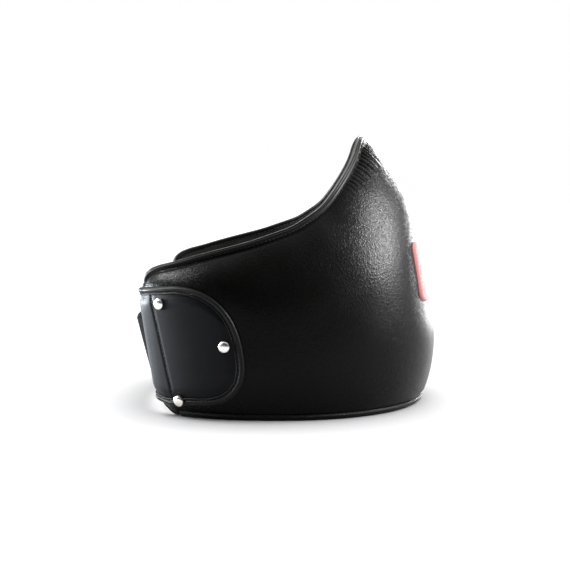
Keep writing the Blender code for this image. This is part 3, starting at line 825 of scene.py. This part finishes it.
def build_sole():
    """The rolled binding that the pad stands on."""
    arounds = np.linspace(-FOLD + 1.2, FOLD - 1.2, 260)
    lip = shell_out(arounds, SOLE_BINDING) + 0.2
    sole = np.maximum(SOLE_SHARE * full_thickness(arounds), 5.0)
    profile = [(0.8, 0.0), (0.2, 0.7), (0.0, 1.8), (0.0, 4.4), (0.5, 5.2)]
    ring = [place(arounds, out, height) for out, height in profile]
    for share, height in ((0.55, 5.9), (0.85, 6.2), (0.97, 6.0), (1.0, 5.2), (0.985, 4.3),
                          (0.93, 3.2), (0.80, 1.9), (0.60, 0.9), (0.30, 0.25), (0.0, 0.0)):
        out = sole + (lip - sole) * share if height < 5.5 else lip * share + 0.6
        ring.append(place(arounds, out, height))
    ring = np.stack(ring, 1)
    places = crossed(arounds, np.arange(ring.shape[1]) * 2.2)
    pale_and_highlight = np.zeros(ring.shape[:2])
    pale_and_highlight[:, 7:10] = 0.1
    roll = closed_piece("sole_roll", ring, BINDING_LEATHER, places, 60, pale_and_highlight)
    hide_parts("bottom_binding")
    belongs(roll, "pad")
    seam = arounds[(np.abs(arounds) < FOLD - 4)]
    line = place(seam, shell_out(seam, SOLE_BINDING) + 0.35, SOLE_BINDING - 0.4)
    ride_stitches("sole_stitches", line, "pad", BLACK_THREAD)


# --- Stitches ---------------------------------------------------------------------------

def stitches(name, line, material, length=STITCH, gap=STITCH_GAP, thick=0.36):
    """Thread along a line of points: short rounded stitches that dip at both ends."""
    run = run_along(line)
    starts = np.arange(gap / 2, run[-1] - length, gap)
    shares = np.array([0.0, 0.08, 0.25, 0.5, 0.75, 0.92, 1.0])
    girths = np.array([0.15, 0.7, 1.0, 1.0, 1.0, 0.7, 0.15])
    turns = np.linspace(0, 2 * math.pi, 7)[:-1]
    points, faces, places = [], [], []
    for start in starts:
        at = start + shares * length
        middle = np.stack([np.interp(at, run, line[:, k]) for k in range(3)], 1)
        ahead = unit(middle[-1] - middle[0])
        beside = unit(np.cross(ahead, (0.13, 0.31, 0.94)))
        over = np.cross(ahead, beside)
        base = len(points) * len(turns)
        for k, (centre, girth) in enumerate(zip(middle, girths)):
            ring = (centre + np.outer(np.cos(turns), beside) * thick * girth
                    + np.outer(np.sin(turns), over) * thick * girth)
            points.append(ring)
            places.append(np.stack([at[k] + 0 * turns, turns * 2], 1))
        faces += [tuple(base + k for k in face)
                  for face in tube_faces(len(shares), len(turns))]
    piece = add_piece(name, np.concatenate(points), faces, material, np.concatenate(places))
    return outward(piece)


def ride_stitches(name, line, body, material):
    """Stitches that belong to one body."""
    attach(stitches(name, line, material), body)


# --- Lining -----------------------------------------------------------------------------

def build_lining():
    """Knitted lining over the inside, soft and slightly buckled."""
    parts = (("pad", "inner_lining", np.linspace(-SPLIT, SPLIT, 242)),
             ("right", "right_wing_lining", np.linspace(SPLIT, LINING_END, 20)),
             ("left", "left_wing_lining", np.linspace(-SPLIT, -LINING_END, 20)))
    for name, node, arounds in parts:
        rows = np.linspace(0, 1, 60)
        distance = np.abs(arounds)
        low = 5.4 - 3.0 * smooth(distance, FOLD - 3, FOLD + 2) + foot_rise(distance) + 0.6
        high = rim_height(arounds) - 5.2 * np.hypot(1, rim_slope(arounds))
        heights = low[:, None] + (high - low)[:, None] * rows
        wide = arounds[:, None] + 0 * heights
        edge = np.minimum(rows, 1 - rows)[None, :] * (high - low)[:, None]
        soft = smooth(edge, 0, 9)
        buckle = (0.35 * np.sin(wide / 6.5 + 0.8 * np.sin(heights / 31))
                  * np.sin(heights / 40 + wide / 55)
                  + 0.25 * np.sin(wide / 11.3 + heights / 47))
        face = 0.5 - soft * (0.45 + buckle)
        front = place(wide, face, heights)
        back = place(wide, 0.9 + 0 * face, heights)
        ring = np.concatenate([front, back[:, ::-1]], 1)
        places = np.concatenate([np.stack([wide, heights], -1)] * 2, 1)
        lining = closed_piece(f"{name}_lining", ring, LINING_KNIT, places, 60)
        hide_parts(node)
        if name == "pad":
            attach(lining, "pad")
        else:
            bend_at_fold(lining, 1 if name == "right" else -1)


# --- Wing panels ------------------------------------------------------------------------

CURL_LENGTH = 22.0
PANEL_TURN = 0.78          # share of the half turn that the panel's leather makes
PANEL_STOP = CURL_START + CURL_LENGTH * PANEL_TURN


def on_wing(run, lift, height, side):
    """Points on the leather of a wing. run goes along the outside, then curls round the
    rear edge."""
    turn = np.clip((run - CURL_START) / CURL_LENGTH, 0, 1) * math.pi
    radius = shell_out(CURL_START, height) / 2
    reach = WING_END - CURL_START + lift
    curled = run > CURL_START
    around = np.where(curled, CURL_START + reach * np.sin(turn), run)
    out = np.where(curled, radius + (radius + lift) * np.cos(turn),
                   shell_out(np.minimum(run, CURL_START), height) + lift)
    return place(side * around, out, height)


def outline_edges(run, inset):
    """Lower and upper edge of a wing panel behind its nose."""
    rearward = run - NOSE_AROUND
    corner = PANEL_CORNER_RISE * smooth(run, FOLD, 2 * WING_END - FOLD)
    low = NOSE_HEIGHT - (NOSE_DOWN - inset) + PANEL_FOOT_SLOPE * rearward + corner
    high = NOSE_HEIGHT + (NOSE_UP - inset) + PANEL_TOP_SLOPE * rearward
    return low, high


def nose_points(turns, inset):
    """Upper and lower outline of the nose at angles from 0 at its tip to a right angle."""
    ahead = NOSE_AROUND - (NOSE_LENGTH - inset) * np.cos(turns) ** (2 / NOSE_POWER)
    rise = np.sin(turns) ** (2 / NOSE_POWER)
    return ahead, NOSE_HEIGHT - (NOSE_DOWN - inset) * rise, NOSE_HEIGHT + (NOSE_UP - inset) * rise


def fold_line(height):
    """Where the stitched fold crosses a wing panel."""
    return 317.5 + (height - 25) * (324 - 317.5) / 97


def build_panel(name, side):
    """The smooth leather inside the band, creased at the fold."""
    inset = 5.4
    turns = np.linspace(0.02, math.pi / 2, 34)
    ahead, low, high = nose_points(turns, inset)
    runs = np.concatenate([np.linspace(NOSE_AROUND, CURL_START, 34)[1:],
                           np.linspace(CURL_START, PANEL_STOP, 22)[1:]])
    rear_low, rear_high = outline_edges(runs, inset)
    run = np.concatenate([ahead, runs])
    low = np.concatenate([low, rear_low])
    high = np.concatenate([high, rear_high])
    rows = np.linspace(0, 1, 64)
    height = low[:, None] + (high - low)[:, None] * rows
    wide = run[:, None] + 0 * height
    edge = np.minimum(rows, 1 - rows)[None, :] * (high - low)[:, None]
    edge = np.minimum(edge, wide - run[0])
    lift = PANEL_LIFT - 1.2 + 1.6 * smooth(edge, 0, 12)
    lift = lift - 1.0 * np.exp(-((wide - fold_line(height)) / 1.3) ** 2)
    lift = lift - (PANEL_LIFT + 0.4) * smooth(wide, PANEL_STOP - 5, PANEL_STOP)
    points = on_wing(wide, lift, height, side)
    places = np.stack([wide * side, height], -1)
    # Painted sheen: paler from just behind the fold to the rear edge, where the leather curls
    # round and catches the light, fading as it turns inside.
    pale_and_highlight = smooth(wide, 325, 338) * (1 - 0.9 * smooth(wide, 342, 348))
    return add_piece(f"{name}_wing_leather", points,
                     grid_faces(*points.shape[:2], flip=side > 0), PANEL_LEATHER, places,
                     None, pale_and_highlight)


BAND = ((0.0, -0.3), (-0.1, 1.4), (0.25, 2.9), (1.2, 3.9), (2.6, 4.25), (4.0, 3.95),
        (5.0, 3.2), (5.5, 2.3), (5.95, 2.35), (6.5, 2.95), (7.2, 3.0), (7.8, 2.5),
        (8.0, 1.6), (8.0, -0.3))
# Share of the binding's paler colour at each point of the band's profile, highest along its top.
BAND_PALE_TOP = (0.0, 0.0, 0.02, 0.04, 0.05, 0.03, 0.0, 0.0, 0.0, 0.0, 0.02, 0.0, 0.0, 0.0)


def band_path():
    """Outline (run, height) of a wing panel: over the top, round the nose, and back along
    the bottom."""
    tail = np.concatenate([np.linspace(PANEL_STOP, CURL_START, 22),
                           np.linspace(CURL_START, NOSE_AROUND, 24)[1:]])
    low, high = outline_edges(tail, 0)
    turns = np.linspace(math.pi / 2, 0, 50)[1:]
    ahead, nose_low, nose_high = nose_points(turns, 0)
    upper = np.concatenate([np.stack([tail, high], 1), np.stack([ahead, nose_high], 1)])
    lower = np.concatenate([np.stack([tail, low], 1), np.stack([ahead, nose_low], 1)])
    path = np.concatenate([upper, lower[-2::-1]])
    run = run_along(path)
    even = np.linspace(0, run[-1], 300)
    return np.stack([np.interp(even, run, path[:, k]) for k in (0, 1)], 1)


def inward_of(path):
    """Directions square to a band's path, towards the panel."""
    tangent = np.gradient(path, axis=0)
    for _ in range(3):
        tangent[1:-1] = (tangent[:-2] + tangent[1:-1] + tangent[2:]) / 3
    tangent = unit(tangent)
    return np.stack([-tangent[:, 1], tangent[:, 0]], 1)


def build_band(name, side):
    """The raised band round the panel, with the groove inside it, and its stitches."""
    path = band_path()
    inward = inward_of(path)
    profile = np.array(BAND)
    at = path[:, None, :] + inward[:, None, :] * profile[None, :, 0:1]
    sink = (BAND_LIFT - 0.6) * smooth(at[..., 0], PANEL_STOP - 4, PANEL_STOP)
    points = on_wing(at[..., 0], profile[None, :, 1] - sink, at[..., 1], side)
    run = np.linspace(0, len(path) * 1.5, len(path))
    places = crossed(run, run_along(profile))
    pale_and_highlight = np.broadcast_to(np.array(BAND_PALE_TOP), points.shape[:2])
    band = closed_piece(f"{name}_wing_band", points, BINDING_LEATHER, places, 60, pale_and_highlight)
    return band, path, inward


def build_wing(name, side):
    """A wing's panel, band, stitches and rivets."""
    panel = build_panel(name, side)
    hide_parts(f"{name}_panel", f"{name}_wing_panel")
    band, path, inward = build_band(name, side)
    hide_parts(f"{name}_panel_band", f"{name}_wing_band_foot", f"{name}_wing_band_top")
    keep = path[:, 0] < CURL_START + 10
    at = (path + inward * 5.7)[keep]
    seam = stitches(f"{name}_band_stitches", on_wing(at[:, 0], 2.35, at[:, 1], side),
                    BLACK_THREAD)
    height = np.linspace(18, 122, 60)
    fold = stitches(f"{name}_fold_stitches",
                    on_wing(fold_line(height), PANEL_LIFT - 0.35, height, side), BLACK_THREAD)
    for piece in (panel, band, seam, fold):
        bend_at_fold(piece, side)
    for number, (around, height, stand) in enumerate(RIVETS, 1):
        build_rivet(name, side, number, around, height, stand)


def build_rivet(name, side, number, around, height, stand):
    """A polished domed rivet with a fine edge, and its shank."""
    out = float(shell_out(around, height))
    normal = shell_normal(np.array(side * around), np.array(height))
    seat = place(side * around, out, height) + normal * (stand - 0.3)
    beside = unit(np.cross(normal, (0.0, 0.0, 1.0)))
    over = np.cross(beside, normal)
    rise = np.radians(np.linspace(8, 90, 12)[:-1])
    profile = [(0.01, -2.0), (RIVET_HEAD - 0.35, -2.0), (RIVET_HEAD - 0.35, -0.05),
               (RIVET_HEAD, 0.0), (RIVET_HEAD + 0.08, 0.2)]
    profile += [(RIVET_HEAD * math.cos(a), 0.2 + (RIVET_DOME + 0.1) * math.sin(a))
                for a in rise]
    profile += [(0.01, RIVET_DOME + 0.3)]
    turns = np.linspace(0, 2 * math.pi, 49)[:-1]
    rings = [seat + np.outer(np.cos(turns) * r, beside) + np.outer(np.sin(turns) * r, over)
             + normal * z for r, z in profile]
    points = np.stack(rings)
    around_shank, total = len(turns), len(profile) * len(turns)
    faces = grid_faces(len(profile), around_shank, across=True)
    faces += [tuple(range(around_shank)), tuple(range(total - around_shank, total))]
    piece = outward(add_piece(f"{name}_rivet_{number}_dome", points, faces, NICKEL, None, 50))
    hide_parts(f"{name}_rivet_{number}")
    belongs(piece, "pad")


# --- Patch ------------------------------------------------------------------------------

PATCH_SHARES = (0, 0.03, 0.07, 0.14, 0.3, 0.5, 0.7, 0.85, 1.0)    # from edge to middle
PATCH_LIFTS = (0.1, 1.5, 1.9, 2.0, 2.05, 2.1, 2.1, 2.1, 2.1)
PATCH_POINTS = 180


def patch_outline(half_height):
    """Even points round the patch's rounded edge, about its middle."""
    turns = np.linspace(0, 2 * math.pi, 121)[:-1]
    corner_x, corner_z = PATCH_HALF - PATCH_CORNER, half_height - PATCH_CORNER
    x = np.sign(np.cos(turns)) * corner_x + PATCH_CORNER * np.cos(turns)
    z = np.sign(np.sin(turns)) * corner_z + PATCH_CORNER * np.sin(turns)
    loop = np.stack([np.append(x, x[0]), np.append(z, z[0])], 1)
    run = run_along(loop)
    even = np.linspace(0, run[-1], PATCH_POINTS + 1)[:-1]
    return np.interp(even, run, loop[:, 0]), np.interp(even, run, loop[:, 1])


def build_patch():
    """The plain sewn patch on the front, with rounded corners and a row of stitches."""
    middle = (PATCH_LOW + PATCH_HIGH) / 2
    edge_x, edge_z = patch_outline((PATCH_HIGH - PATCH_LOW) / 2)
    rings = []
    places = []
    for share, lift in zip(PATCH_SHARES, PATCH_LIFTS):
        x, z = edge_x * (1 - share), middle + edge_z * (1 - share)
        groove = 0.6 * math.exp(-((share - 0.10) / 0.03) ** 2)
        rings.append(place(x, shell_out(x, z) + lift - groove, z))
        places.append(np.stack([x, z], -1))
    points = np.stack(rings)
    patch = add_piece("front_patch_leather", points,
                      grid_faces(*points.shape[:2], across=True, flip=True), RED_LEATHER,
                      np.stack(places), 60, pale_and_highlight=np.zeros(points.shape[:2]))
    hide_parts("front_patch")
    belongs(patch, "pad")
    x, z = edge_x * 0.9, middle + edge_z * 0.9
    line = place(x, shell_out(x, z) + 1.6, z)
    ride_stitches("patch_stitches", np.concatenate([line, line[:1]]), "pad", RED_THREAD)


# --- Back strap -------------------------------------------------------------------------

def web_piece(name, side, start, end, low, high, face, thick, material, node, step=2.0):
    """Webbing or tape between two places round the back, with rounded edges."""
    arounds = side * np.linspace(start, end, max(4, int((end - start) / step) + 1))
    rows = np.linspace(0, 1, 34)
    bevel = np.minimum(rows, 1 - rows) * (high - low)
    shrink = thick / 2 * (1 - np.sqrt(np.clip(1 - (1 - np.clip(bevel / 1.0, 0, 1)) ** 2, 0, 1)))
    height = low + (high - low) * rows
    wide = arounds[:, None] + 0 * height
    out = face(wide, height)
    ripple = 0.25 * np.sin(wide / 14 + 0.6) * np.sin(height / 19 + 0.4)
    inner = place(wide, out + shrink + ripple, height)
    outer = place(wide, out + thick - shrink + ripple, height)
    ring = np.concatenate([outer, inner[:, ::-1]], 1)
    places = np.concatenate([np.stack([wide, height + 0 * wide], -1)] * 2, 1)
    piece = closed_piece(name, ring, material, places, 50, np.zeros(ring.shape[:2]))
    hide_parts(*node)
    return piece


def settling(settle, back_out, extra=0.0):
    """Outward distance of webbing that leaves a wing and settles against the back."""
    def out(around, height):
        back = back_out - STRAP_TILT * (STRAP_HIGH - height)
        return STRAP_OUT + (back - STRAP_OUT) * smooth(np.abs(around), *settle) + extra
    return out


def box_line(side, start, end, low, high, out):
    """A rectangle of seam on a strap."""
    corners = [(start, low), (end, low), (end, high), (start, high), (start, low)]
    points = []
    for (a, b), (c, d) in zip(corners, corners[1:]):
        steps = max(2, int(math.hypot(c - a, d - b) / 2))
        share = np.linspace(0, 1, steps)
        around, height = side * (a + (c - a) * share), b + (d - b) * share
        points.append(place(around, out(around, height), height))
    return np.concatenate(points)


def build_strap():
    """The webbing across the back: its right end peels off the left tail."""
    face = settling(STRAP_SETTLE, STRAP_BACK_OUT)
    web = web_piece("strap_webbing", 1, WEB_START, STRAP_END, STRAP_LOW, STRAP_HIGH, face, WEB,
                    WEBBING, ("strap_web", "strap_root"), 1.6)
    start, end = soft_stretch(1, STRAP_HINGE, STRAP_SOFT, STRAP_OUT + WEB, 54.0)
    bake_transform(web)
    low, high = STRAP_LOW + TAPE_MARGIN, STRAP_HIGH - TAPE_MARGIN
    hook = web_piece("hook_pad", 1, STRAP_TAPE_START, STRAP_END - 3, low, high,
                     settling(STRAP_SETTLE, STRAP_BACK_OUT, -0.2 - TAPE), TAPE, HOOK_TAPE,
                     ("hook_tape",))
    belongs(hook, "strap")
    tab = web_piece("tab_leather", 1, STRAP_END - 6, STRAP_END + TAB_LENGTH, STRAP_LOW,
                    STRAP_HIGH, settling(STRAP_SETTLE, STRAP_BACK_OUT, -0.4), WEB + 1.2,
                    BINDING_LEATHER, ("strap_tab",))
    belongs(tab, "strap")
    tail = web_piece("tail_webbing", -1, WEB_START, TAIL_END, STRAP_LOW, STRAP_HIGH,
                     settling(TAIL_SETTLE, TAIL_BACK_OUT), WEB, WEBBING, ("tail_web",))
    belongs(tail, "left_wing")
    loop = web_piece("loop_pad", -1, TAIL_TAPE_START, TAIL_END - 3, low, high,
                     settling(TAIL_SETTLE, TAIL_BACK_OUT, WEB + 0.2), TAPE, LOOP_TAPE,
                     ("loop_tape",))
    belongs(loop, "left_wing")
    outer = settling(STRAP_SETTLE, STRAP_BACK_OUT, WEB + 0.25)
    ride_stitches("hook_stitches", box_line(1, STRAP_TAPE_START + 2, STRAP_END - 9, low + 2,
                                            high - 2, outer), "strap", BLACK_THREAD)
    tab_line = box_line(1, STRAP_END - 3, STRAP_END + TAB_LENGTH - 3, STRAP_LOW + 3,
                        STRAP_HIGH - 3, settling(STRAP_SETTLE, STRAP_BACK_OUT, WEB + 0.95))
    ride_stitches("tab_stitches", tab_line, "strap", BLACK_THREAD)
    for name, side in (("right", 1), ("left", -1)):
        line = box_line(side, 326, 336, STRAP_LOW + 4, STRAP_HIGH - 4,
                        lambda around, height: STRAP_OUT - 0.2 + 0 * around)
        ride_stitches(f"{name}_root_stitches", line, f"{name}_wing", BLACK_THREAD)


# --- Scene ------------------------------------------------------------------------------

def dress_burrs():
    """The burrs keep their CAD shape and get brushed steel."""
    for name in ("right", "left"):
        for number in range(1, 4):
            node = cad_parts[f"{name}_burr_{number}"]
            for slot in node.material_slots:
                slot.material = STEEL


def add_softbox(name, direction, distance, size, radiance, colour, receivers):
    """A rectangular lamp that faces the middle of the pad and is kept off the floor."""
    target = Vector((0, 0, 0.14))
    lamp = bpy.data.lights.new(name, "AREA")
    lamp.shape = "RECTANGLE"
    lamp.size, lamp.size_y = size
    lamp.energy = radiance * math.pi * size[0] * size[1]
    lamp.color = colour
    light = bpy.data.objects.new(name, lamp)
    light.location = target + Vector(direction).normalized() * distance
    light.rotation_euler = (target - light.location).to_track_quat("-Z", "Y").to_euler()
    light.light_linking.receiver_collection = receivers
    bpy.context.collection.objects.link(light)


FLOOR_REACH = 9000.0       # from the pad to each side of the floor
WALL_SIDES = 64


def build_floor():
    """A pale floor, and a white backdrop round it that only the camera sees."""
    reach = FLOOR_REACH
    look = Look("floor", (0.90, 0.90, 0.91), 0.8, Specular_IOR_Level=0.2)
    look.use(Roughness=look.remap(look.add("TexNoise", Scale=6.0), 0.3, 0.7, 0.75, 0.85))
    ground = add_piece("floor", [(-reach, -reach, 0), (reach, -reach, 0), (reach, reach, 0),
                                 (-reach, reach, 0)], [(0, 1, 2, 3)], look.material)
    turns = np.linspace(0, 2 * math.pi, WALL_SIDES + 1)[:-1]
    ring = np.stack([np.cos(turns), np.sin(turns)], -1) * 0.99 * reach
    corners = [(x, y, z) for x, y in ring for z in (0.0, 1.4 * reach)]
    glow = Look("backdrop", (0, 0, 0), 1.0, Specular_IOR_Level=0.0,
                Emission_Color=(1, 1, 1, 1), Emission_Strength=1.0)
    backdrop = add_piece("backdrop", corners,
                         grid_faces(WALL_SIDES, 2, around=True, flip=True), glow.material)
    for ray in ("diffuse", "glossy", "transmission", "volume_scatter", "shadow"):
        setattr(backdrop, f"visible_{ray}", False)
    return ground


def build_world():
    """A world that is brightest beyond the pad and above it, as the camera looks."""
    world = bpy.data.worlds.new("studio")
    world.use_nodes = True
    bpy.context.scene.world = world
    tree = world.node_tree
    sky = tree.nodes["Background"]
    coordinates = tree.nodes.new("ShaderNodeTexCoord")
    facing = tree.nodes.new("ShaderNodeVectorMath")
    facing.operation = "DOT_PRODUCT"
    facing.inputs[1].default_value = (0.66, -0.15, 0.60)
    ramp = tree.nodes.new("ShaderNodeMapRange")
    ramp.interpolation_type = "SMOOTHSTEP"
    ramp.inputs["From Min"].default_value = -0.10
    ramp.inputs["From Max"].default_value = 0.72
    ramp.inputs["To Min"].default_value = 0.03
    ramp.inputs["To Max"].default_value = 1.6
    tree.links.new(coordinates.outputs["Generated"], facing.inputs[0])
    tree.links.new(facing.outputs["Value"], ramp.inputs["Value"])
    tree.links.new(ramp.outputs["Result"], sky.inputs["Strength"])
    sky.inputs["Color"].default_value = (1, 1, 1, 1)


def build_lights(ground):
    """Softboxes that light the pad but not the floor, and a sun that lights only the floor."""
    lit = bpy.data.collections.new("softbox receivers")
    lit.objects.link(ground)
    lit.collection_objects[0].light_linking.link_state = "EXCLUDE"
    white, cool = (1, 1, 1), (0.87, 0.94, 1)
    add_softbox("front_softbox", (-0.05, -0.95, 0.46), 1.5, (0.20, 0.68), 205, white, lit)
    add_softbox("edge_softbox", (1.0, -0.36, 0.26), 1.8, (1.2, 1.3), 44, white, lit)
    add_softbox("crest_softbox", (-0.05, 0.80, 0.62), 1.6, (0.4, 0.4), 75, white, lit)
    add_softbox("rear_softbox", (0.22, 0.97, 0.0), 1.8, (0.9, 0.26), 150, cool, lit)
    wash = bpy.data.lights.new("floor_wash", "SUN")
    wash.energy = 1.9
    wash.angle = 2.0
    overhead = bpy.data.objects.new("floor_wash", wash)
    floor_only = bpy.data.collections.new("floor wash receivers")
    floor_only.objects.link(ground)
    overhead.light_linking.receiver_collection = floor_only
    bpy.context.collection.objects.link(overhead)


def add_camera():
    """A camera level with the pad's side, with a small shift that frames the pad."""
    turn, tip = math.radians(1.8), math.radians(3.7)
    ahead = Vector((math.cos(tip) * math.cos(turn), math.cos(tip) * math.sin(turn),
                    -math.sin(tip)))
    target = Vector((0, ORIGIN_SHIFT * MM, 0.150))
    data = bpy.data.cameras.new("camera")
    data.lens = 80.4
    data.sensor_width = 36
    data.shift_x = 0.0132
    data.shift_y = -0.0491
    camera = bpy.data.objects.new("camera", data)
    camera.location = target - ahead * 1.4
    camera.rotation_euler = ahead.to_track_quat("-Z", "Y").to_euler()
    bpy.context.collection.objects.link(camera)
    bpy.context.scene.camera = camera
    bpy.context.scene.view_settings.view_transform = "Standard"


build_shell()
build_rim()
build_sole()
build_lining()
for wing_name, wing_side in (("right", 1), ("left", -1)):
    build_wing(wing_name, wing_side)
build_patch()
build_strap()
dress_burrs()
floor_object = build_floor()
build_world()
build_lights(floor_object)
add_camera()
